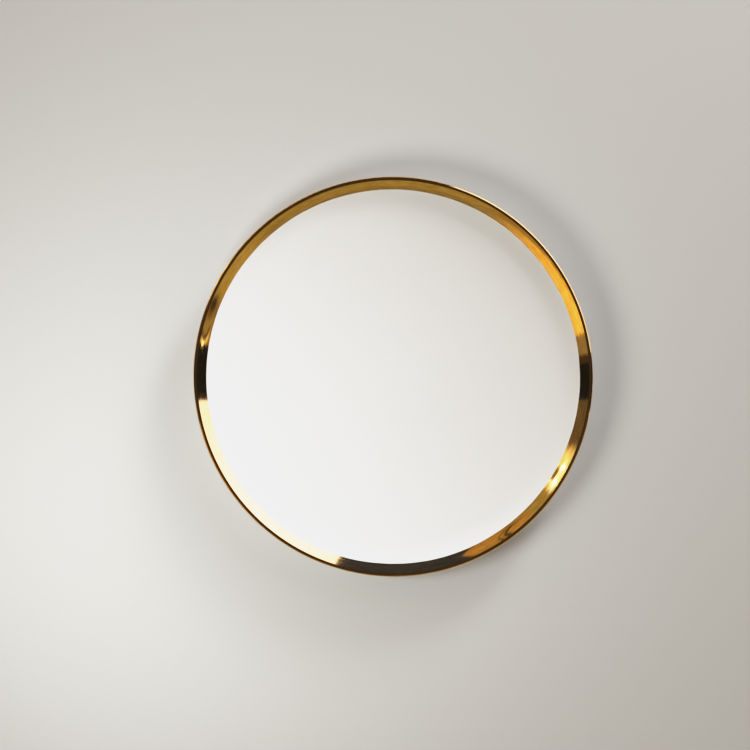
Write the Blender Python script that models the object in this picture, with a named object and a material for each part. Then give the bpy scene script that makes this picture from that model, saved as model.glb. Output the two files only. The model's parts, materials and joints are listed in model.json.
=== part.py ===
"""China dinner plate of the coupe shape, with a gilded rim.

A turned porcelain body carries two fired glaze coats and a band of bright
gold. The pieces are the plate's real material layers, each its own solid:

    porcelain_body   the fired body, bare only on the foot ring's edge
    glaze_coat       glaze over the face, the lip and the outside
    base_glaze       the patch of glaze inside the foot ring
    gold_rim_band    gold inside the lip, over it and just outside it

Frame: metres, +Z up, origin at the centre of the plane the foot rests on.
All the driving dimensions below are in millimetres.
"""

import math

import bpy

MM = 0.001
FACETS = 60                 # facets round the plate; every layer uses the same

# Overall size, measured over the gold
DIAMETER = 270.0
HEIGHT = 24.0

# Fired layers. The gap keeps neighbouring solids apart.
GLAZE = 0.26
GOLD = 0.14
GAP = 0.10

# Face: a flat middle, then a slow dish that turns up into the wall
FLAT_RADIUS = 22.0          # truly flat middle of the face
WALL_START = 7.0            # slope in degrees where the dish meets the wall
WALL_RADIUS = 27.5          # radius of the wall's inner curve
LIP_SLOPE_IN = 46.0         # slope of the face where it meets the lip
LIP_RADIUS = 0.98           # the lip's glazed section is a half circle

# Outside
LIP_SLOPE_OUT = 49.0        # slope of the flank below the lip
FLANK = 7.2                 # length of the straight flank
KNEE_RADIUS = 17.0          # the flank turns into the underside
KNEE_END = 8.0              # slope in degrees at the end of the knee
FOOT_APPROACH = 4.5         # slope in degrees of the underside at the foot

# Foot ring
FOOT_TOP_RADIUS = 86.0      # where the foot's outer side meets the underside
FOOT_OUTER = 82.6           # radius at the foot's outer bottom corner
FOOT_INNER = 79.0           # radius at the foot's inner bottom corner
RECESS_RADIUS = 76.2        # radius of the recess at its ceiling
RECESS_DEPTH = 4.7          # depth of the recess inside the foot
FOOT_FILLET = 4.0
RECESS_FILLET = 2.6
EDGE_ROUND = 0.6            # rounding of the foot's two bottom corners
GLAZE_STOP = 1.5            # height above the ground where the glaze stops

# Gold
BAND_INNER_RADIUS = 126.0   # inner edge of the gold on the face
BAND_OUTSIDE = 1.4          # how far the gold runs down the flank


def rad(degrees):
    return math.radians(degrees)


def arc(centre, radius, start, end, steps):
    """Points on an arc, with its angles in degrees measured from +r."""
    return [
        (
            centre[0] + radius * math.cos(rad(start + (end - start) * i / steps)),
            centre[1] + radius * math.sin(rad(start + (end - start) * i / steps)),
        )
        for i in range(steps + 1)
    ]


def fillet(before, corner, after, radius, steps):
    """The arc that rounds a corner of a polyline."""
    u = (before[0] - corner[0], before[1] - corner[1])
    v = (after[0] - corner[0], after[1] - corner[1])
    lu, lv = math.hypot(*u), math.hypot(*v)
    u, v = (u[0] / lu, u[1] / lu), (v[0] / lv, v[1] / lv)
    half = math.acos(max(-1.0, min(1.0, u[0] * v[0] + u[1] * v[1]))) / 2
    along = radius / math.tan(half)
    bisector = (u[0] + v[0], u[1] + v[1])
    lb = math.hypot(*bisector)
    reach = radius / math.sin(half)
    centre = (corner[0] + bisector[0] / lb * reach, corner[1] + bisector[1] / lb * reach)
    first = (corner[0] + u[0] * along, corner[1] + u[1] * along)
    last = (corner[0] + v[0] * along, corner[1] + v[1] * along)
    a0 = math.degrees(math.atan2(first[1] - centre[1], first[0] - centre[0]))
    a1 = math.degrees(math.atan2(last[1] - centre[1], last[0] - centre[0]))
    turn = (a1 - a0 + 180) % 360 - 180
    return arc(centre, radius, a0, a0 + turn, steps)


def glazed_profile():
    """The plate's glazed surface from the middle of the face, over the lip,
    down the outside and round the foot to the middle of the recess. Returns
    the points (radius, height) and the indices of the marks on it."""
    over_glaze = GAP + GOLD
    lip = (DIAMETER / 2 - over_glaze - LIP_RADIUS, HEIGHT - over_glaze - LIP_RADIUS)

    # The wall's inner curve ends on the lip circle, tangent to it.
    wall_end = (
        lip[0] - LIP_RADIUS * math.sin(rad(LIP_SLOPE_IN)),
        lip[1] + LIP_RADIUS * math.cos(rad(LIP_SLOPE_IN)),
    )
    wall = (
        wall_end[0] - WALL_RADIUS * math.sin(rad(LIP_SLOPE_IN)),
        wall_end[1] + WALL_RADIUS * math.cos(rad(LIP_SLOPE_IN)),
    )
    dish_end = (
        wall[0] + WALL_RADIUS * math.sin(rad(WALL_START)),
        wall[1] - WALL_RADIUS * math.cos(rad(WALL_START)),
    )
    run = dish_end[0] - FLAT_RADIUS
    bend = math.tan(rad(WALL_START)) / (2 * run)
    floor = dish_end[1] - bend * run * run

    points, marks = [(0.0, floor)], {}
    for share in (0.0, 0.28, 0.52, 0.76):
        points.append((FLAT_RADIUS + run * share, floor + bend * (run * share) ** 2))
    band = math.degrees(math.asin((BAND_INNER_RADIUS - wall[0]) / WALL_RADIUS))
    points += arc(wall, WALL_RADIUS, WALL_START - 90, band - 90, 3)
    marks["gold_inner"] = len(points) - 1
    points += arc(wall, WALL_RADIUS, band - 90, LIP_SLOPE_IN - 90, 2)[1:]
    points += arc(lip, LIP_RADIUS, LIP_SLOPE_IN + 90, LIP_SLOPE_OUT - 90, 6)[1:]

    down = (-math.cos(rad(LIP_SLOPE_OUT)), -math.sin(rad(LIP_SLOPE_OUT)))
    flank = points[-1]
    points.append((flank[0] + down[0] * BAND_OUTSIDE, flank[1] + down[1] * BAND_OUTSIDE))
    marks["gold_outer"] = len(points) - 1
    flank_end = (flank[0] + down[0] * FLANK, flank[1] + down[1] * FLANK)
    knee = (
        flank_end[0] - KNEE_RADIUS * math.sin(rad(LIP_SLOPE_OUT)),
        flank_end[1] + KNEE_RADIUS * math.cos(rad(LIP_SLOPE_OUT)),
    )
    points += arc(knee, KNEE_RADIUS, LIP_SLOPE_OUT - 90, KNEE_END - 90, 4)

    # The underside falls towards the foot, its slope easing on the way.
    start = points[-1]
    steep, easy = math.tan(rad(KNEE_END)), math.tan(rad(FOOT_APPROACH))
    length = start[0] - FOOT_TOP_RADIUS - 0.5
    middle = (start[0] - length * 0.5, start[1] - length * 0.5 * (0.75 * steep + 0.25 * easy))
    top = (start[0] - length, start[1] - length * (steep + easy) / 2)
    points.append(middle)

    # Foot ring, as a rounded polyline
    ceiling = (RECESS_RADIUS, RECESS_DEPTH)
    outer, inner = (FOOT_OUTER, 0.0), (FOOT_INNER, 0.0)
    points += fillet(middle, top, outer, FOOT_FILLET, 2)
    share = GLAZE_STOP / (top[1] - outer[1])
    points.append((outer[0] + (top[0] - outer[0]) * share, GLAZE_STOP))
    marks["glaze_stop"] = len(points) - 1
    points += fillet(top, outer, inner, EDGE_ROUND, 2)
    points += fillet(outer, inner, ceiling, EDGE_ROUND, 2)
    share = GLAZE_STOP / RECESS_DEPTH
    points.append((inner[0] + (ceiling[0] - inner[0]) * share, GLAZE_STOP))
    marks["base_glaze_start"] = len(points) - 1
    points += fillet(inner, ceiling, (0.0, RECESS_DEPTH), RECESS_FILLET, 2)
    points.append((0.0, RECESS_DEPTH))
    return points, marks


def offset(points, distance):
    """The polyline moved sideways by an exact distance, positive outwards.
    The points run clockwise seen with the radius to the right and up up."""
    normals = []
    for a, b in zip(points, points[1:]):
        length = math.hypot(b[0] - a[0], b[1] - a[1])
        normals.append((-(b[1] - a[1]) / length, (b[0] - a[0]) / length))
    moved = []
    for i, (r, z) in enumerate(points):
        n0 = normals[max(i - 1, 0)]
        n1 = normals[min(i, len(normals) - 1)]
        mitre = (n0[0] + n1[0], n0[1] + n1[1])
        scale = distance * 2 / (mitre[0] ** 2 + mitre[1] ** 2)
        moved.append((r + mitre[0] * scale, z + mitre[1] * scale))
    # The ends on the plate's axis stay on it.
    return [(0.0 if points[i][0] == 0.0 else r, z) for i, (r, z) in enumerate(moved)]


def turned(name, outline, closed, material):
    """A solid of revolution about Z. The outline goes down its outer side. An
    open outline starts and ends on the axis, and a closed one is a ring."""
    mesh = bpy.data.meshes.new(name)
    count = len(outline)
    edges = [(i, i + 1) for i in range(count - 1)]
    if closed:
        edges.append((count - 1, 0))
    mesh.from_pydata([(r * MM, 0.0, z * MM) for r, z in outline], edges, [])
    obj = bpy.data.objects.new(name, mesh)
    bpy.context.scene.collection.objects.link(obj)
    mesh.materials.append(material)
    screw = obj.modifiers.new("turn", "SCREW")
    screw.axis = "Z"
    screw.angle = 2 * math.pi
    screw.steps = FACETS
    screw.render_steps = FACETS
    screw.use_merge_vertices = True
    screw.merge_threshold = 0.00001
    screw.use_smooth_shade = True
    return obj


def material(name, colour, roughness, metallic=0.0, coat=0.0):
    made = bpy.data.materials.new(name)
    made.use_nodes = True
    shader = made.node_tree.nodes["Principled BSDF"]
    shader.inputs["Base Color"].default_value = (*colour, 1.0)
    shader.inputs["Roughness"].default_value = roughness
    shader.inputs["Metallic"].default_value = metallic
    shader.inputs["Coat Weight"].default_value = coat
    made.diffuse_color = (*colour, 1.0)
    made.metallic = metallic
    made.roughness = roughness
    return made


def build():
    for obj in list(bpy.data.objects):
        bpy.data.objects.remove(obj, do_unlink=True)

    fired_body = material("fired_porcelain", (0.80, 0.78, 0.73), 0.72)
    glaze = material("clear_white_glaze", (0.86, 0.85, 0.83), 0.07, coat=0.6)
    gold = material("bright_gold", (0.84, 0.60, 0.22), 0.10, metallic=1.0)

    surface, marks = glazed_profile()
    stop, restart = marks["glaze_stop"], marks["base_glaze_start"]

    # Body: the glazed surface set back under the glaze, flush at the foot,
    # with a small step where each coat of glaze ends.
    under = offset(surface, -(GLAZE + GAP))
    lift = GAP / (surface[stop - 1][1] - surface[stop][1])
    lip_of_step = (
        surface[stop][0] - (surface[stop - 1][0] - surface[stop][0]) * lift,
        surface[stop][1] - GAP,
    )
    lift = GAP / (surface[restart + 1][1] - surface[restart][1])
    lip_of_recess = (
        surface[restart][0] - (surface[restart + 1][0] - surface[restart][0]) * lift,
        surface[restart][1] - GAP,
    )
    outline = under[:stop]
    outline.append((under[stop][0], surface[stop][1] - GAP))
    outline.append(lip_of_step)
    outline += surface[stop + 1 : restart]
    outline.append(lip_of_recess)
    outline.append((under[restart][0], surface[restart][1] - GAP))
    outline += under[restart + 1 :]
    turned("porcelain_body", outline, False, fired_body)

    # Glaze coats: shells between the glazed surface and the body
    back = offset(surface, -GLAZE)
    end = [surface[stop], (back[stop][0], surface[stop][1])]
    turned("glaze_coat", surface[:stop] + end + back[:stop][::-1], False, glaze)
    start = [(back[restart][0], surface[restart][1]), surface[restart]]
    turned(
        "base_glaze",
        back[restart + 1 :][::-1] + start + surface[restart + 1 :],
        False,
        glaze,
    )

    # Gold: a closed ring over the glaze, inside the lip and over it
    first, last = marks["gold_inner"], marks["gold_outer"]
    near = offset(surface, GAP)[first : last + 1]
    far = offset(surface, GAP + GOLD)[first : last + 1]
    turned("gold_rim_band", far + near[::-1], True, gold)


build()
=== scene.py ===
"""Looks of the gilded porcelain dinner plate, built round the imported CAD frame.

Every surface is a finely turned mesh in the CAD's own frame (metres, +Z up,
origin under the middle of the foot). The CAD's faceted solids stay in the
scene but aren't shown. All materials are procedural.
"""

import json
import math

import bpy
import numpy as np
from mathutils import Matrix, Vector

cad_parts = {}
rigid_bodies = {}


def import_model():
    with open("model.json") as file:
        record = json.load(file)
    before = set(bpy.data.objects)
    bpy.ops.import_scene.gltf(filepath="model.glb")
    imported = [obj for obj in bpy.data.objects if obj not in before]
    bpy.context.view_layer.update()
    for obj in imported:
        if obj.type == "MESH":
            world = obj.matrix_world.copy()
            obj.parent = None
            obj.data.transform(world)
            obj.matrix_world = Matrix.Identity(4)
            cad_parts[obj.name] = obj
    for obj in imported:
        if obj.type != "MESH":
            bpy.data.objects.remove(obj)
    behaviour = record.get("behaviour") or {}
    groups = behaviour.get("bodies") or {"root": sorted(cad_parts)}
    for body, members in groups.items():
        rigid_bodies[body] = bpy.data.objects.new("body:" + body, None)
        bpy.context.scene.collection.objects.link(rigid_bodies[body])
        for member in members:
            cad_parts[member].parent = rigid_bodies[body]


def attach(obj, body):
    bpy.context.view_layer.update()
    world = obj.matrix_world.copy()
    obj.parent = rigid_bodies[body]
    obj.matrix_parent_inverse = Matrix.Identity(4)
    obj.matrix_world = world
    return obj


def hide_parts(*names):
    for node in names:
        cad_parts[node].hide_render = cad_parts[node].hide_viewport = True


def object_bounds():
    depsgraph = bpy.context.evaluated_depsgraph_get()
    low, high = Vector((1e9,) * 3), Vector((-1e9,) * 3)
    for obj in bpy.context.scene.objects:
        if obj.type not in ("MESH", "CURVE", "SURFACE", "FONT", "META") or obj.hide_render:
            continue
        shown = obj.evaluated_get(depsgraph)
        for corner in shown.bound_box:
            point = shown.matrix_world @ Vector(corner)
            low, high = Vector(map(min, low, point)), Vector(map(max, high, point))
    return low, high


for leftover in list(bpy.data.objects):
    bpy.data.objects.remove(leftover, do_unlink=True)

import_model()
cad_low, cad_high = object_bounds()

MM = 0.001
SEGMENTS = 400

# ---------------------------------------------------------------- the profile
# The plate's own sizes, in millimetres. The overall ones come from the CAD box.
RADIUS = (cad_high.x - cad_low.x) / 2 / MM
RADIUS = round(RADIUS, 1)
HEIGHT = round((cad_high.z - cad_low.z) / MM, 1)
FILM = 0.045                # gold film standing on the glaze
LIP_SLOPE_IN, LIP_SLOPE_OUT = 42.0, 49.0
LIP_EDGE, LIP_TOP, LIP_OUTSIDE = 0.30, 2.45, 1.10   # the lip's three radii
LIP_TOP_SLOPE = 22.0        # slope on each side of the lip's gentle top
WALL_RADIUS, WALL_START, FLAT_RADIUS = 33.0, 7.4, 22.0
FLANK, KNEE_RADIUS, KNEE_END, FOOT_APPROACH = 7.2, 17.0, 8.0, 4.5
FOOT_TOP_RADIUS, FOOT_OUTER, FOOT_INNER = 86.0, 82.6, 79.0
RECESS_RADIUS, RECESS_DEPTH = 76.2, 4.7
FOOT_FILLET, RECESS_FILLET, EDGE_ROUND = 4.0, 2.6, 0.6
GLAZE, GLAZE_STOP = 0.22, 1.25
BAND_INNER_RADIUS, BAND_OUTSIDE = 126.5, 1.3


def arc(centre, radius, start, end, steps):
    angles = np.radians(np.linspace(start, end, steps + 1))
    return [
        (centre[0] + radius * math.cos(a), centre[1] + radius * math.sin(a))
        for a in angles
    ]


def fillet(before, corner, after, radius, steps):
    b, c, a = (np.array(p, float) for p in (before, corner, after))
    u, v = (b - c) / np.linalg.norm(b - c), (a - c) / np.linalg.norm(a - c)
    half = math.acos(float(np.clip(u @ v, -1, 1))) / 2
    middle = (u + v) / np.linalg.norm(u + v)
    centre = c + middle * radius / math.sin(half)
    first, last = c + u * radius / math.tan(half), c + v * radius / math.tan(half)
    a0 = math.degrees(math.atan2(*(first - centre)[::-1]))
    a1 = math.degrees(math.atan2(*(last - centre)[::-1]))
    return arc(centre, radius, a0, a0 + (a1 - a0 + 180) % 360 - 180, steps)


def lip_profile():
    """The lip: a small radius where the wall ends, a gently domed top, and a
    fuller radius outside. Runs from the wall to the top of the flank."""
    side = math.radians(LIP_TOP_SLOPE)
    outside = np.array([RADIUS - FILM - LIP_OUTSIDE, 0.0])
    top = outside + (LIP_OUTSIDE - LIP_TOP) * np.array([math.sin(side), math.cos(side)])
    edge = top + (LIP_TOP - LIP_EDGE) * np.array([-math.sin(side), math.cos(side)])
    rise = np.array([0.0, HEIGHT - FILM - LIP_TOP - top[1]])
    outside, top, edge = outside + rise, top + rise, edge + rise
    points = arc(edge, LIP_EDGE, 90 + LIP_SLOPE_IN, 90 + LIP_TOP_SLOPE, 5)
    points += arc(top, LIP_TOP, 90 + LIP_TOP_SLOPE, 90 - LIP_TOP_SLOPE, 12)[1:]
    points += arc(outside, LIP_OUTSIDE, 90 - LIP_TOP_SLOPE, LIP_SLOPE_OUT - 90, 20)[1:]
    return points


def face_profile(start):
    """From the middle of the face out to the lip. The slope is eased with a
    soft window, as a jiggered face has no line where its dish meets its wall."""
    step = 0.1
    s = np.arange(-12.0, 160.0, step)
    turn = math.radians(LIP_SLOPE_IN) - s / WALL_RADIUS
    low = math.radians(WALL_START)
    at = (math.radians(LIP_SLOPE_IN) - low) * WALL_RADIUS
    run = RADIUS - 20.0 - FLAT_RADIUS
    dish = np.arctan(np.clip(math.tan(low) * (1 - (s - at) / run), 0, None))
    slope = np.where(s < at, turn, dish)
    window = np.exp(-0.5 * (np.arange(-80, 81) * step / 2.3) ** 2)
    slope = np.convolve(slope, window / window.sum(), "same")
    keep = (s >= -1e-9) & (s < 150.0)
    s, slope = s[keep], slope[keep]
    r, z = start
    rr = r - np.concatenate([[0], np.cumsum(np.cos(slope[:-1]) * step)])
    zz = z - np.concatenate([[0], np.cumsum(np.sin(slope[:-1]) * step)])
    wanted = np.concatenate(
        [np.arange(0.0, 112.0, 2.0), np.arange(112.0, r - 0.35, 0.5), [r]]
    )
    order = np.argsort(rr)
    return [(float(x), float(np.interp(x, rr[order], zz[order]))) for x in wanted]


def profile():
    """The glazed surface as (radius, height) from the middle of the face, over
    the lip, down the outside and round the foot to the middle of the recess."""
    lip = lip_profile()
    points, marks = face_profile(lip[0]), {}
    marks["gold_inner"] = min(
        range(len(points)), key=lambda i: abs(points[i][0] - BAND_INNER_RADIUS)
    )
    points += lip[1:]
    out = math.radians(LIP_SLOPE_OUT)
    down = (-math.cos(out), -math.sin(out))
    flank = points[-1]
    for share in (0.25, 0.5, 0.75, 1.0):
        points.append(
            (
                flank[0] + down[0] * BAND_OUTSIDE * share,
                flank[1] + down[1] * BAND_OUTSIDE * share,
            )
        )
    marks["gold_outer"] = len(points) - 1
    for share in (0.3, 0.5, 0.7, 0.85):
        points.append(
            (flank[0] + down[0] * FLANK * share, flank[1] + down[1] * FLANK * share)
        )
    end = (flank[0] + down[0] * FLANK, flank[1] + down[1] * FLANK)
    knee = (end[0] - KNEE_RADIUS * math.sin(out), end[1] + KNEE_RADIUS * math.cos(out))
    points += arc(knee, KNEE_RADIUS, LIP_SLOPE_OUT - 90, KNEE_END - 90, 22)
    start = points[-1]
    steep = math.tan(math.radians(KNEE_END))
    easy = math.tan(math.radians(FOOT_APPROACH))
    length = start[0] - FOOT_TOP_RADIUS - 0.5
    under = []
    for i in range(1, 15):
        t = i / 14
        drop = length * (steep * t + (easy - steep) * t * t / 2)
        under.append((start[0] - length * t, start[1] - drop))
    top = under[-1]
    foot_arc = fillet(under[-4], top, (FOOT_OUTER, 0.0), FOOT_FILLET, 12)
    points += [p for p in under if p[0] > foot_arc[0][0] + 0.4] + foot_arc
    outer, inner = (FOOT_OUTER, 0.0), (FOOT_INNER, 0.0)
    ceiling = (RECESS_RADIUS, RECESS_DEPTH)
    share = GLAZE_STOP / top[1]
    points.append((outer[0] + (top[0] - outer[0]) * share, GLAZE_STOP))
    marks["glaze_stop"] = len(points) - 1
    points += fillet(top, outer, inner, EDGE_ROUND, 8)
    points += fillet(outer, inner, ceiling, EDGE_ROUND, 8)
    share = GLAZE_STOP / RECESS_DEPTH
    points.append((inner[0] + (ceiling[0] - inner[0]) * share, GLAZE_STOP))
    marks["base_start"] = len(points) - 1
    points += fillet(inner, ceiling, (0.0, RECESS_DEPTH), RECESS_FILLET, 10)
    for r in np.arange(70.0, 1.0, -3.0):
        points.append((float(r), RECESS_DEPTH))
    points.append((0.0, RECESS_DEPTH))
    return np.array(points), marks


def normals_of(points):
    along = np.gradient(points, axis=0)
    along /= np.linalg.norm(along, axis=1)[:, None]
    n = np.stack([-along[:, 1], along[:, 0]], 1)
    n[points[:, 0] < 1e-9] *= [0.0, 1.0]
    return n


surface, marks = profile()
outward = normals_of(surface)


def warp(r, phi):
    """How far the fired plate stands off a perfect turning, in millimetres
    along +Z: a slow saddle from the kiln and long soft waves in the wall."""
    out = np.clip((r - 88.0) / (RADIUS - 88.0), 0, 1) ** 2
    saddle = 0.06 * np.cos(2 * (phi - 0.7)) + 0.03 * np.cos(3 * phi + 1.1) - 0.07
    waves = 0.010 * np.cos(9 * phi + 0.06 * r) + 0.006 * np.cos(17 * phi - 0.11 * r)
    return out * (saddle + waves)


def oval(r, phi):
    """How much wider the fired plate is across one diagonal: it went out of
    round by under half a millimetre, all of it outside the foot."""
    return 1 + 0.0032 * np.clip((r - 70.0) / 60.0, 0, 1) * np.cos(2 * (phi - 2.36))


def turned(name, rings, closed):
    """A turned solid. rings is a list of (radii, heights) arrays or of plain
    (radius, height) pairs, one for each ring, in outline order."""
    phi = np.linspace(0, 2 * math.pi, SEGMENTS, endpoint=False)
    co, first, faces = [], [], []
    count = 0
    for r, z in rings:
        r, z = np.broadcast_to(r, phi.shape), np.broadcast_to(z, phi.shape)
        first.append(count)
        if r.max() < 1e-9:
            co.append([[0.0, 0.0, float(z[0])]])
            count += 1
            continue
        z, r = z + warp(r, phi), r * oval(r, phi)
        co.append(np.stack([r * np.cos(phi), r * np.sin(phi), z], 1))
        count += SEGMENTS
    pole = [b - a == 1 for a, b in zip(first, first[1:] + [count])]
    pairs = list(zip(range(len(rings)), range(1, len(rings))))
    if closed:
        pairs.append((len(rings) - 1, 0))
    k = np.arange(SEGMENTS)
    j = (k + 1) % SEGMENTS
    for a, b in pairs:
        if pole[a]:
            faces += [(first[a], first[b] + x, first[b] + y) for x, y in zip(k, j)]
        elif pole[b]:
            faces += [(first[a] + y, first[a] + x, first[b]) for x, y in zip(k, j)]
        else:
            faces += [
                (first[a] + x, first[b] + x, first[b] + y, first[a] + y)
                for x, y in zip(k, j)
            ]
    mesh = bpy.data.meshes.new(name)
    mesh.from_pydata(np.concatenate(co) * MM, [], [tuple(map(int, f)) for f in faces])
    mesh.validate()
    mesh.update()
    obj = bpy.data.objects.new(name, mesh)
    bpy.context.scene.collection.objects.link(obj)
    mesh.shade_smooth()
    return obj


# ------------------------------------------------------------------ materials
class Nodes:
    """Short hand for building one node tree."""

    def __init__(self, tree):
        self.tree, self.links = tree, tree.links
        tree.nodes.clear()

    def add(self, kind, **values):
        node = self.tree.nodes.new(kind)
        for key, value in values.items():
            if key.startswith("_"):
                setattr(node, key[1:], value)
            else:
                socket = node.inputs[key.replace("_", " ")]
                self.set(socket, value)
        return node

    def set(self, socket, value):
        if isinstance(value, bpy.types.NodeSocket):
            self.links.new(value, socket)
        else:
            socket.default_value = value

    def math(self, operation, a, b=None, c=None, clamp=False):
        node = self.tree.nodes.new("ShaderNodeMath")
        node.operation, node.use_clamp = operation, clamp
        for socket, value in zip(node.inputs, (a, b, c)):
            if value is not None:
                self.set(socket, value)
        return node.outputs[0]

    def smooth(self, value, low, high, to_low=0.0, to_high=1.0):
        node = self.tree.nodes.new("ShaderNodeMapRange")
        node.interpolation_type = "SMOOTHSTEP"
        for socket, v in zip(node.inputs, (value, low, high, to_low, to_high)):
            self.set(socket, v)
        return node.outputs[0]

    def ramp(self, value, stops, interpolation="LINEAR"):
        node = self.tree.nodes.new("ShaderNodeValToRGB")
        ramp = node.color_ramp
        ramp.interpolation = interpolation
        while len(ramp.elements) < len(stops):
            ramp.elements.new(0.5)
        for element, (position, colour) in zip(ramp.elements, stops):
            element.position = position
        for element, (position, colour) in zip(ramp.elements, stops):
            element.color = (*colour[:3], 1.0)
        self.set(node.inputs[0], value)
        return node.outputs["Color"]

    def mix(self, factor, a, b, blend="MIX"):
        node = self.tree.nodes.new("ShaderNodeMix")
        node.data_type, node.blend_type = "RGBA", blend
        node.clamp_factor = True
        self.set(node.inputs["Factor"], factor)
        for socket, value in ((node.inputs[6], a), (node.inputs[7], b)):
            self.set(socket, value if isinstance(value, bpy.types.NodeSocket) else (*value, 1.0))
        return node.outputs[2]

    def noise(self, vector, scale, detail=2.0, roughness=0.5, distortion=0.0):
        node = self.tree.nodes.new("ShaderNodeTexNoise")
        self.set(node.inputs["Vector"], vector)
        node.inputs["Scale"].default_value = scale
        node.inputs["Detail"].default_value = detail
        node.inputs["Roughness"].default_value = roughness
        node.inputs["Distortion"].default_value = distortion
        return node.outputs["Fac"]

    def polar(self, around, across):
        """Coordinates that run round the plate: around sets how long a streak
        is, and across how fine it is along the radius."""
        place = self.add("ShaderNodeTexCoord").outputs["Object"]
        parts = self.add("ShaderNodeSeparateXYZ", Vector=place).outputs
        flat = self.add("ShaderNodeCombineXYZ", X=parts[0], Y=parts[1]).outputs[0]
        length = self.tree.nodes.new("ShaderNodeVectorMath")
        length.operation = "LENGTH"
        self.set(length.inputs[0], flat)
        unit = self.tree.nodes.new("ShaderNodeVectorMath")
        unit.operation = "NORMALIZE"
        self.set(unit.inputs[0], flat)
        turned_unit = self.add("ShaderNodeSeparateXYZ", Vector=unit.outputs[0]).outputs
        radius = length.outputs["Value"]
        slant = self.math("ADD", radius, self.math("MULTIPLY", parts[2], 0.6))
        vector = self.add(
            "ShaderNodeCombineXYZ",
            X=self.math("MULTIPLY", turned_unit[0], around),
            Y=self.math("MULTIPLY", turned_unit[1], around),
            Z=self.math("MULTIPLY", slant, across),
        ).outputs[0]
        return place, radius, parts[2], vector


def material(name):
    made = bpy.data.materials.new(name)
    made.use_nodes = True
    nodes = Nodes(made.node_tree)
    output = nodes.add("ShaderNodeOutputMaterial")
    shader = nodes.add("ShaderNodeBsdfPrincipled")
    nodes.links.new(shader.outputs[0], output.inputs[0])
    return made, nodes, shader


def glaze_material():
    made, n, shader = material("white_glaze")
    place, radius, height, rings = n.polar(0.5, 260.0)
    # The body's warm white with a faint cloudiness as fired glaze has, made
    # darker and creamier in a ring low on the underside where it meets the foot.
    cloud = n.noise(place, 22.0, 3.0, 0.55)
    colour = n.mix(cloud, (0.872, 0.857, 0.850), (0.852, 0.837, 0.828))
    foot_ring_band = n.math(
        "MULTIPLY",
        n.smooth(radius, 0.0815, 0.0850),
        n.smooth(radius, 0.0930, 0.0870),
    )
    below = n.smooth(height, 0.0088, 0.0068)
    colour = n.mix(
        n.math("MULTIPLY", n.math("MULTIPLY", foot_ring_band, below), 0.55),
        colour,
        (0.800, 0.785, 0.745),
    )
    n.set(shader.inputs["Base Color"], colour)
    rough = n.noise(place, 60.0, 2.0, 0.6)
    n.set(shader.inputs["Roughness"], n.smooth(rough, 0.25, 0.8, 0.045, 0.085))
    shader.inputs["IOR"].default_value = 1.52
    shader.inputs["Subsurface Weight"].default_value = 0.12
    shader.inputs["Subsurface Radius"].default_value = (1.0, 0.85, 0.65)
    shader.inputs["Subsurface Scale"].default_value = 0.0022
    # Fired glaze is never quite flat: a long soft ripple, finer peel, and the
    # faint rings the jigger leaves in the body under it.
    ripple = n.noise(place, 95.0, 2.0, 0.45)
    peel = n.noise(place, 620.0, 1.0, 0.4)
    turning = n.noise(rings, 1.0, 2.0, 0.5)
    mixed = n.math(
        "ADD",
        n.math("ADD", n.math("MULTIPLY", ripple, 1.0), n.math("MULTIPLY", peel, 0.06)),
        n.math("MULTIPLY", turning, 0.35),
    )
    bump = n.add("ShaderNodeBump", Height=mixed, Strength=1.0, Distance=0.000035)
    n.set(shader.inputs["Normal"], bump.outputs[0])
    return made


def gold_material():
    made, n, shader = material("bright_gold")
    place, radius, height, streaks = n.polar(6.0, 1500.0)
    _, _, _, strokes = n.polar(9.0, 620.0)
    fine = n.noise(streaks, 1.0, 3.0, 0.62)
    broad = n.noise(strokes, 1.0, 2.0, 0.5)
    # Thicker and thinner film along the brush strokes
    film = n.smooth(n.math("ADD", n.math("MULTIPLY", fine, 0.6), n.math("MULTIPLY", broad, 0.4)), 0.34, 0.66)
    colour = n.mix(film, (0.880, 0.555, 0.255), (0.965, 0.640, 0.335))
    # Broad patches, redder and yellower, as a brushed film fires unevenly
    patch = n.noise(place, 170.0, 2.0, 0.5)
    colour = n.mix(
        n.smooth(patch, 0.46, 0.66, 0.0, 0.55), colour, (0.950, 0.560, 0.225)
    )
    # The film darkens slightly along its inner edge, where the brush lifted.
    edge = n.smooth(radius, 0.1268, 0.1259)
    colour = n.mix(n.math("MULTIPLY", edge, 0.55), colour, (0.62, 0.37, 0.11))
    n.set(shader.inputs["Base Color"], colour)
    shader.inputs["Metallic"].default_value = 1.0
    rub = n.noise(place, 240.0, 3.0, 0.65)
    rough = n.math(
        "ADD",
        n.smooth(fine, 0.25, 0.75, 0.030, 0.085),
        n.smooth(rub, 0.62, 0.82, 0.0, 0.10),
    )
    n.set(shader.inputs["Roughness"], rough)
    grain = n.math("ADD", n.math("MULTIPLY", fine, 0.5), n.math("MULTIPLY", broad, 1.0))
    bump = n.add("ShaderNodeBump", Height=grain, Strength=1.0, Distance=0.0000045)
    n.set(shader.inputs["Normal"], bump.outputs[0])
    return made


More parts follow.
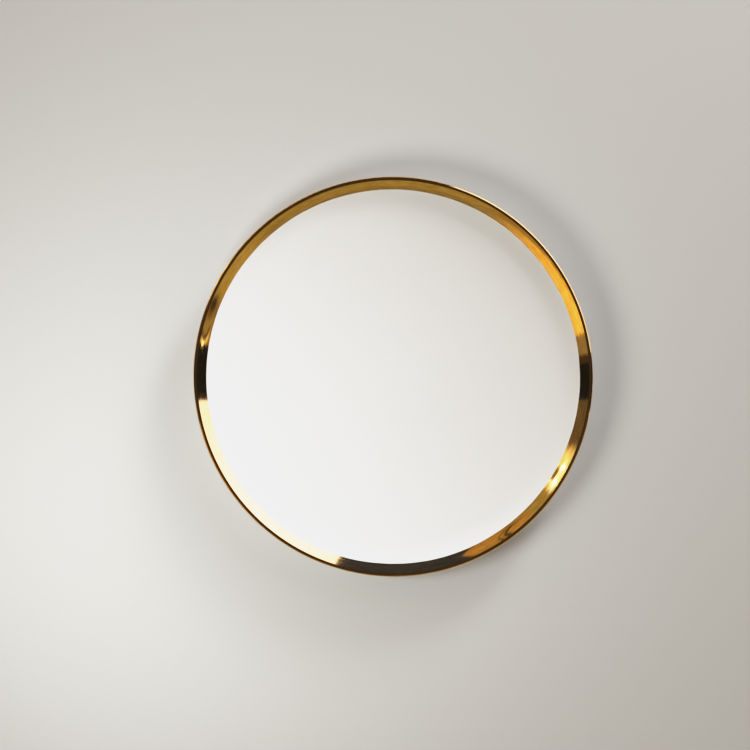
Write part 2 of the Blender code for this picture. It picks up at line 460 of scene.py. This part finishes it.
def body_material():
    made, n, shader = material("fired_porcelain")
    place, radius, height, rings = n.polar(1.5, 1500.0)
    grain = n.noise(place, 2600.0, 3.0, 0.7)
    stain = n.noise(place, 70.0, 4.0, 0.6)
    colour = n.mix(grain, (0.735, 0.715, 0.665), (0.815, 0.800, 0.760))
    # Fine scratches and table grey on the edge that it stands on
    worn = n.math("MULTIPLY", n.smooth(stain, 0.48, 0.72), n.smooth(height, 0.0007, 0.0001))
    colour = n.mix(n.math("MULTIPLY", worn, 0.5), colour, (0.52, 0.50, 0.46))
    n.set(shader.inputs["Base Color"], colour)
    n.set(shader.inputs["Roughness"], n.smooth(grain, 0.2, 0.8, 0.62, 0.82))
    scratch = n.noise(rings, 1.0, 2.0, 0.6)
    mixed = n.math("ADD", grain, n.math("MULTIPLY", scratch, 0.8))
    bump = n.add("ShaderNodeBump", Height=mixed, Strength=1.0, Distance=0.00004)
    n.set(shader.inputs["Normal"], bump.outputs[0])
    return made


# ---------------------------------------------------------------- the pieces
def piece(obj, material, slot, *stands_for):
    obj.data.materials.clear()
    obj.data.materials.append(material)
    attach(obj, "root")
    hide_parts(*stands_for)
    return obj


glaze, gold, bare = glaze_material(), gold_material(), body_material()
stop, restart = marks["glaze_stop"], marks["base_start"]
inside = surface - outward * GLAZE
below = surface - outward * (GLAZE + 0.03)

# Glaze over the face, the lip and the outside, ending in a rounded edge
shell = [tuple(p) for p in surface[: stop + 1]]
edge_mid = (surface[stop] + inside[stop]) / 2
shell += [(edge_mid[0], GLAZE_STOP - 0.07), (inside[stop][0], GLAZE_STOP)]
shell += [tuple(p) for p in inside[:stop][::-4]]
if shell[-1][0] > 1e-6:
    shell.append(tuple(inside[0]))
glaze_coat = piece(
    turned("glaze_over_face_and_outside", shell, False),
    glaze,
    "white_glaze",
    "glaze_coat",
)

# Glaze inside the foot
patch = [tuple(p) for p in inside[restart + 1 :][::-3]]
if patch[0][0] > 1e-6:
    patch.insert(0, tuple(inside[-1]))
edge_mid = (surface[restart] + inside[restart]) / 2
patch += [(inside[restart][0], GLAZE_STOP), (edge_mid[0], GLAZE_STOP - 0.07)]
patch += [tuple(p) for p in surface[restart:]]
base_glaze = piece(
    turned("glaze_inside_foot", patch, False), glaze, "white_glaze", "base_glaze"
)

# The fired body under the glaze, flush and bare on the foot ring's edge
core = [tuple(p) for p in below[: stop - 1 : 2]]
core += [
    (below[stop][0], GLAZE_STOP - 0.12),
    (surface[stop][0] - 0.03, GLAZE_STOP - 0.16),
]
core += [tuple(p) for p in surface[stop + 1 : restart]]
core += [
    (surface[restart][0] + 0.03, GLAZE_STOP - 0.16),
    (below[restart][0], GLAZE_STOP - 0.12),
]
core += [tuple(p) for p in below[restart + 2 :: 2]]
if core[-1][0] > 1e-6:
    core.append(tuple(below[-1]))
body = piece(
    turned("porcelain_body_and_foot_edge", core, False),
    bare,
    "fired_porcelain",
    "porcelain_body",
)


def gold_band():
    """The gold film: a thin ring over the lip with soft hand-drawn edges."""
    phi = np.linspace(0, 2 * math.pi, SEGMENTS, endpoint=False)
    first, last = marks["gold_inner"], marks["gold_outer"]
    length = np.concatenate(
        [[0], np.cumsum(np.linalg.norm(np.diff(surface, axis=0), axis=1))]
    )
    # The band was laid by hand on a wheel, not quite on centre
    wander_in = (
        0.12 * np.cos(phi + 1.1)
        + 0.09 * np.cos(phi * 3 + 0.4)
        + 0.05 * np.cos(phi * 11 + 2.0)
        + 0.03 * np.cos(phi * 29 + 1.0)
    )
    wander_out = 0.12 * np.cos(phi * 4 + 2.1) + 0.06 * np.cos(phi * 13)
    start, end = length[first], length[last]
    own = (length[first + 1 : last] - start) / (end - start)
    own = np.sort(np.concatenate([own, (own[1:] + own[:-1]) / 2]))
    own = own[(own > 0.03) & (own < 0.97)]
    shares = np.concatenate([[0.0, 0.004, 0.012], own, [0.988, 0.996, 1.0]])

    def ring(share, lift):
        s = start + (end - start) * share
        s = s + wander_in * (1 - share) ** 6 + wander_out * share**12
        r = np.interp(s, length, surface[:, 0])
        z = np.interp(s, length, surface[:, 1])
        nr = np.interp(s, length, outward[:, 0])
        nz = np.interp(s, length, outward[:, 1])
        size = np.hypot(nr, nz)
        return r + nr / size * lift, z + nz / size * lift

    rings = []
    for share in shares:
        rim = min(share, 1 - share) / 0.014
        lift = 0.008 + (FILM - 0.008) * min(1.0, rim) ** 0.5
        rings.append(ring(share, lift))
    for share in shares[::-1][1:-1:2]:
        rings.append(ring(share, 0.004))
    return turned("gold_rim", rings, True)


gold_rim = piece(gold_band(), gold, "bright_gold", "gold_rim_band")


# ------------------------------------------------------------------ the camera
# The photograph looks almost straight down the plate's axis. The camera sits
# a little to the upper left of the axis, and the plate a little right of centre.
LENS, DISTANCE = 85.0, 1.193
toward = Vector((-0.060, 0.035, 0.0))
toward.z = math.sqrt(1 - toward.length_squared)
rim_centre = Vector((0, 0, (HEIGHT - 1.0) * MM))
pixel = DISTANCE * 36.0 / LENS / 750
camera_data = bpy.data.cameras.new("camera")
camera_data.lens, camera_data.sensor_width = LENS, 36.0
camera_data.clip_start, camera_data.clip_end = 0.01, 50.0
camera = bpy.data.objects.new("camera", camera_data)
bpy.context.scene.collection.objects.link(camera)
right = Vector((1, 0, 0))
up = toward.cross(right).normalized()
right = up.cross(toward).normalized()
aim = rim_centre - right * (19.54 * pixel) + up * (2.42 * pixel)
camera.location = aim + toward * DISTANCE
camera.matrix_world = Matrix.Translation(camera.location) @ Matrix(
    (
        (right.x, up.x, toward.x),
        (right.y, up.y, toward.y),
        (right.z, up.z, toward.z),
    )
).to_4x4()
bpy.context.scene.camera = camera


# ----------------------------------------------------- the studio round it
def across(clock, slope=35.0):
    """The azimuth, in degrees, of the part of the studio that the gold mirrors
    at a clock angle on the rim (0 at 3 o'clock, clockwise, seen from above)."""
    a, t = math.radians(-clock), math.radians(slope)
    n = Vector((-math.sin(t) * math.cos(a), -math.sin(t) * math.sin(a), math.cos(t)))
    d = 2 * n.dot(toward) * n - toward
    return math.degrees(math.atan2(d.y, d.x))


# The studio, as panels of light round a dark room. Each has the clock angles
# that it spans on the rim, its lowest and highest elevation, the softness of
# its sides and of its ends in degrees, and its light. A later panel covers an
# earlier one. A "still" panel hangs straight, an "oval" fills the ellipse in
# that window, and an "outline" draws only its edge, or a "left" or "right"
# only that end of it.
DARK, BLACK = (0.042, 0.050, 0.074), (0.013, 0.015, 0.018)
AMBER, BROWN = (0.335, 0.275, 0.088), (0.126, 0.100, 0.056)
YELLOW, WHITE_HOT = (1.35, 0.83, 0.16), (11, 10, 7.5)
PANELS = [
    ("box", 0, 360, -20, 39, 1, 3, DARK),
    ("box", 201, 300, -20, 39, 2.5, 3, AMBER),
    ("box", 204, 222, -20, 39, 14, 3, (0.42, 0.345, 0.115)),
    ("box", 298, 352.5, -20, 39, 8, 3, (0.31, 0.235, 0.070)),
    ("box", 318, 352.5, -20, 39, 14, 3, (0.19, 0.135, 0.040)),
    ("box", 226, 318, 28, 39, 12, 18, (0.235, 0.210, 0.110)),
    ("wedge", 295, 346.5, 9, 39, 2, 8, YELLOW),
    ("box", 346.5, 352.5, -20, 39, 0.8, 3, (0.28, 0.22, 0.10)),
    ("still", 352.7, 355.6, -20, 60, 0.5, 3, (0.055, 0.036, 0.028)),
    ("still", 355.2, 6.3, -20, 60, 0.5, 3, BLACK),
    ("box", 6.3, 22, -20, 42, 0.5, 3, BROWN),
    ("box", 20, 47, -20, 42, 4, 3, (0.21, 0.145, 0.060)),
    ("box", 22, 37.5, 17, 44, 5, 10, (1.35, 1.12, 0.50)),
    ("oval", 25.5, 36.3, 19, 35, 4, 1, (2.5, 2.2, 1.25)),
    ("oval", 28.2, 33.2, 31.5, 46, 1.6, 1, (0.26, 0.19, 0.080)),
    ("box", 36, 60, 14, 44, 3, 5, AMBER),
    ("oval", 45.5, 55.5, 14, 38, 1.5, 3, (0.42, 0.26, 0.075)),
    ("oval", 54, 69.3, 13, 42, 1.5, 3, (0.42, 0.270, 0.078)),
    ("outline", 46.3, 54.8, 15, 34, 0.55, 1, (0.09, 0.065, 0.035)),
    ("right", 45.5, 55.0, 15, 35, 1.1, 1, (0.03, 0.025, 0.02)),
    ("right", 42.5, 57.5, 12, 38, 0.5, 1, (0.04, 0.03, 0.02)),
    ("still", 173.2, 189.3, -20, 60, 0.6, 3, BLACK),
    ("box", 189.3, 202, -20, 36, 0.6, 3, (0.31, 0.245, 0.085)),
    ("left", 189.6, 199, 4, 29, 0.75, 1, (1.15, 0.85, 0.30)),
    ("oval", 188.9, 190.3, 13, 19, 0.4, 1, (3.0, 2.6, 1.6)),
    ("left", 191.5, 200, 6, 26, 0.8, 1, (0.06, 0.05, 0.03)),
    ("oval", 196.8, 204.4, 3, 27, 4.0, 6, (0.13, 0.098, 0.045)),
    ("oval", 199.6, 203.4, 9, 23, 2.2, 6, (0.055, 0.042, 0.026)),
    ("oval", 27.1, 28.7, 23, 31, 0.9, 1, WHITE_HOT),
    ("oval", 26.2, 29.3, 26.2, 27.8, 0.6, 1, (4.5, 3.9, 2.4)),
    ("oval", 32.6, 34.7, 24, 33, 1.0, 1, WHITE_HOT),
    ("oval", 31.4, 35.8, 27.5, 29.5, 0.7, 1, (5.5, 4.7, 3.0)),
    ("oval", 33.3, 34.1, 18, 38, 0.6, 1, (4.0, 3.4, 2.2)),
    ("still", 20, 107, -3, 4, 5, 2, (4.2, 4.0, 3.6)),
]
SOFTBOX = (108.4, 172.8)            # clock angles that it spans
SOFTBOX_TOP = (37.0, 47.0)          # elevation at its first and last azimuth
SOFTBOX_ENDS, SOFTBOX_MIDDLE = (1.95, 1.65, 1.50), (2.9, 2.75, 2.85)
CEILING = (0.046, 0.036, 0.022)


def studio():
    """The studio as a world: a big softbox at the upper right, warm and dark
    panels all round, and a dark ceiling over the camera."""
    world = bpy.data.worlds.new("studio")
    bpy.context.scene.world = world
    world.use_nodes = True
    n = Nodes(world.node_tree)
    output = n.add("ShaderNodeOutputWorld")
    background = n.add("ShaderNodeBackground")
    n.links.new(background.outputs[0], output.inputs[0])
    direction = n.add("ShaderNodeTexCoord").outputs["Generated"]
    x, y, z = n.add("ShaderNodeSeparateXYZ", Vector=direction).outputs
    azimuth = n.math("MULTIPLY", n.math("ARCTAN2", y, x), 180 / math.pi)
    height = n.math("MULTIPLY", n.math("ARCSINE", z), 180 / math.pi)
    # The panels hang a little loose, so their edges and hot spots wander
    exact = azimuth, height
    sway = n.add("ShaderNodeTexNoise", Vector=direction, Scale=13.0, Detail=2.0, Roughness=0.6)
    shift = n.add("ShaderNodeSeparateColor", Color=sway.outputs["Color"]).outputs
    azimuth = n.math("ADD", azimuth, n.math("MULTIPLY_ADD", shift[0], 3.4, -1.7))
    height = n.math("ADD", height, n.math("MULTIPLY_ADD", shift[1], 9.0, -4.5))

    def window(first, last, azimuth=azimuth):
        """Degrees from the middle of a span of clock angles, and half its width."""
        a, b = across(first), across(last)
        width = (a - b) % 360
        middle = b + width / 2
        return n.math("WRAP", n.math("SUBTRACT", azimuth, middle), 180.0, -180.0), width / 2

    sky = n.mix(n.smooth(height, 39.0, 42.0), DARK, CEILING)
    for kind, first, last, low, high, side, end, light in PANELS:
        if (last - first) % 360 == 0:
            mask = n.math("SUBTRACT", 1.0, n.smooth(height, high - end / 2, high + end / 2))
            sky = n.mix(mask, sky, light)
            continue
        off, half = window(first, last)
        level = height
        if kind in ("still", "outline", "right"):
            off, half = window(first, last, azimuth=exact[0])
            level = exact[1]
        if kind in ("box", "wedge", "still"):
            distance = n.math("ABSOLUTE", off)
            mask = n.smooth(distance, half + side / 2, half - side / 2)
            foot = low
            if kind == "wedge":
                # It opens from a point under its top, and brightens as it opens
                foot = n.math("MULTIPLY_ADD", off, (high - low) * 0.22 / half, (high + low) / 2 - 5)
                mask = n.math("MULTIPLY", mask, n.smooth(off, half * 1.05, -half * 0.5, 0.0, 1.0))
            above = n.math("SUBTRACT", level, foot)
            mask = n.math("MULTIPLY", mask, n.smooth(above, -end / 2, end / 2))
            mask = n.math("MULTIPLY", mask, n.smooth(level, high + end / 2, high - end / 2))
        else:
            u = n.math("DIVIDE", off, half)
            v = n.math("DIVIDE", n.math("SUBTRACT", level, (low + high) / 2), (high - low) / 2)
            ring = n.math("SQRT", n.math("ADD", n.math("MULTIPLY", u, u), n.math("MULTIPLY", v, v)))
            soft = side / half
            if kind == "oval":
                mask = n.smooth(ring, 1 + soft / 2, 1 - soft / 2)
            else:
                mask = n.smooth(n.math("ABSOLUTE", n.math("SUBTRACT", ring, 1.0)), soft, soft / 3)
            if kind == "outline":
                mask = n.math("MULTIPLY", mask, n.smooth(u, 0.9, -0.3, 0.25, 1.0))
            elif kind == "right":
                mask = n.math("MULTIPLY", mask, n.smooth(u, -0.1, -0.6))
            elif kind == "left":
                mask = n.math("MULTIPLY", mask, n.smooth(u, 0.0, 0.5))
        sky = n.mix(mask, sky, light)

    # The panels are cloth and board, so their light is a little uneven
    mottle = n.noise(direction, 26.0, 3.0, 0.65)
    patches = n.noise(direction, 5.0, 2.0, 0.5)
    uneven = n.math(
        "MULTIPLY", n.smooth(mottle, 0.3, 0.7, 0.78, 1.22), n.smooth(patches, 0.3, 0.7, 0.9, 1.1)
    )
    scaled = n.tree.nodes.new("ShaderNodeVectorMath")
    scaled.operation = "SCALE"
    n.set(scaled.inputs[0], sky)
    n.set(scaled.inputs["Scale"], uneven)
    sky = scaled.outputs[0]

    # The softbox: sharp at its sides, brightest in its middle
    height = exact[1]
    off, half = window(*SOFTBOX, azimuth=exact[0])
    mask = n.smooth(n.math("ABSOLUTE", off), half + 0.4, half - 0.4)
    top = n.math("MULTIPLY_ADD", off, (SOFTBOX_TOP[1] - SOFTBOX_TOP[0]) / (2 * half), sum(SOFTBOX_TOP) / 2)
    mask = n.math("MULTIPLY", mask, n.smooth(n.math("SUBTRACT", height, top), 7.0, -7.0))
    middle = n.math("DIVIDE", n.math("SUBTRACT", off, 8.0), 25.0)
    glow = n.math("EXPONENT", n.math("MULTIPLY", n.math("MULTIPLY", middle, middle), -0.5))
    sky = n.mix(mask, sky, n.mix(glow, SOFTBOX_ENDS, SOFTBOX_MIDDLE))
    n.set(background.inputs["Color"], sky)
    background.inputs["Strength"].default_value = 1.0
    world.cycles.sampling_method = "MANUAL"
    world.cycles.sample_map_resolution = 2048
    return world


studio()


def soft_lamp(name, place, size, power, colour):
    """A round soft light aimed at the plate. The gold and the glaze mirror the
    studio's own panels, so the lamps light them without showing in them."""
    lamp = bpy.data.lights.new(name, "AREA")
    lamp.shape, lamp.size, lamp.energy, lamp.color = "DISK", size, power, colour
    holder = bpy.data.objects.new(name, lamp)
    bpy.context.scene.collection.objects.link(holder)
    holder.location = place
    holder.rotation_euler = (-Vector(place)).to_track_quat("-Z", "Y").to_euler()
    holder.visible_camera = False
    holder.visible_glossy = False


# The softbox's own throw from the upper right, and a near light at the lower
# left that gives the face its slow falloff from left to right
soft_lamp("key_softbox", (0.72, 1.22, 0.52), 0.42, 16.0, (0.965, 1.0, 1.01))
soft_lamp("near_softbox", (-0.240, -0.118, 0.330), 0.20, 1.36, (0.965, 1.0, 1.01))


def floor_and_backdrop():
    made = []
    for name, colour in (("floor", FLOOR), ("backdrop", None)):
        mat = bpy.data.materials.new(name)
        mat.use_nodes = True
        n = Nodes(mat.node_tree)
        output = n.add("ShaderNodeOutputMaterial")
        if colour:
            shader = n.add("ShaderNodeBsdfPrincipled")
            shader.inputs["Base Color"].default_value = (*colour, 1)
            shader.inputs["Roughness"].default_value = 0.85
            shader.inputs["Specular IOR Level"].default_value = 0.2
        else:
            shader = n.add("ShaderNodeEmission")
            shader.inputs["Color"].default_value = (*BACKDROP, 1)
            shader.inputs["Strength"].default_value = 1.0
        n.links.new(shader.outputs[0], output.inputs[0])
        made.append(mat)
    phi = np.linspace(0, 2 * math.pi, 96, endpoint=False)

    def disc(name, radii, heights, mat):
        co = [[0.0, 0.0, heights[0]]]
        for r, z in zip(radii, heights):
            co += [[r * math.cos(p), r * math.sin(p), z] for p in phi]
        faces = [(0, 1 + i, 1 + (i + 1) % 96) for i in range(96)]
        for k in range(len(radii) - 1):
            a, b = 1 + 96 * k, 97 + 96 * k
            faces += [(a + i, b + i, b + (i + 1) % 96, a + (i + 1) % 96) for i in range(96)]
        mesh = bpy.data.meshes.new(name)
        mesh.from_pydata(co, [], faces)
        mesh.shade_smooth()
        mesh.materials.append(mat)
        obj = bpy.data.objects.new(name, mesh)
        bpy.context.scene.collection.objects.link(obj)
        return obj

    disc("floor", [0.3, 1.0, 4.0], [0.0, 0.0, 0.0], made[0])
    turn = np.linspace(0, math.pi / 2, 12)
    backdrop = disc(
        "backdrop",
        [4.2] + list(4.2 + 1.2 * np.sin(turn)) + [5.4],
        [-0.01] + list(-0.01 + 1.2 * (1 - np.cos(turn))) + [5.0],
        made[1],
    )
    backdrop.visible_diffuse = False
    backdrop.visible_glossy = False
    backdrop.visible_transmission = False
    backdrop.visible_shadow = False


def haze(inner, outer):
    """The floor fading into the backdrop well away from the plate, as on a
    curved paper sweep. Only the camera sees it."""
    mat = bpy.data.materials.new("haze")
    mat.use_nodes = True
    n = Nodes(mat.node_tree)
    output = n.add("ShaderNodeOutputMaterial")
    place = n.add("ShaderNodeTexCoord").outputs["Object"]
    parts = n.add("ShaderNodeSeparateXYZ", Vector=place).outputs
    squared = n.math("MULTIPLY_ADD", parts[0], parts[0], n.math("MULTIPLY", parts[1], parts[1]))
    amount = n.smooth(n.math("SQRT", squared), inner, outer)
    clear = n.add("ShaderNodeBsdfTransparent")
    glow = n.add("ShaderNodeEmission")
    glow.inputs["Color"].default_value = (*BACKDROP, 1)
    blend = n.add("ShaderNodeMixShader", Fac=amount)
    n.links.new(clear.outputs[0], blend.inputs[1])
    n.links.new(glow.outputs[0], blend.inputs[2])
    n.links.new(blend.outputs[0], output.inputs[0])
    phi = np.linspace(0, 2 * math.pi, 96, endpoint=False)
    co = [[r * math.cos(p), r * math.sin(p), 0.0004] for r in (inner, 4.19) for p in phi]
    faces = [(i, 96 + i, 96 + (i + 1) % 96, (i + 1) % 96) for i in range(96)]
    mesh = bpy.data.meshes.new("haze")
    mesh.from_pydata(co, [], faces)
    mesh.materials.append(mat)
    obj = bpy.data.objects.new("haze", mesh)
    bpy.context.scene.collection.objects.link(obj)
    obj.visible_diffuse = obj.visible_glossy = False
    obj.visible_transmission = obj.visible_shadow = False


FLOOR = (0.60, 0.595, 0.585)
BACKDROP = (0.58, 0.575, 0.565)
floor_and_backdrop()
haze(0.40, 1.25)

view = bpy.context.scene.view_settings
view.view_transform = "Standard"
view.look = "None"
view.exposure = 0.0
view.gamma = 1.0
# A film-like shoulder, so that the lit gold and the white face keep their tone
view.use_curve_mapping = True
mapping = view.curve_mapping
mapping.use_clip = True
mapping.clip_max_x, mapping.clip_max_y = 8.0, 1.0
shoulder = mapping.curves[3]
stops = ((0.0, 0.0), (0.6, 0.6), (0.8, 0.765), (0.95, 0.845), (1.2, 0.875), (1.6, 0.90), (2.5, 0.94), (8.0, 1.0))
while len(shoulder.points) < len(stops):
    shoulder.points.new(4.0, 1.0)
for point, place in zip(shoulder.points, stops):
    point.location = place
    point.handle_type = "AUTO_CLAMPED"
mapping.update()
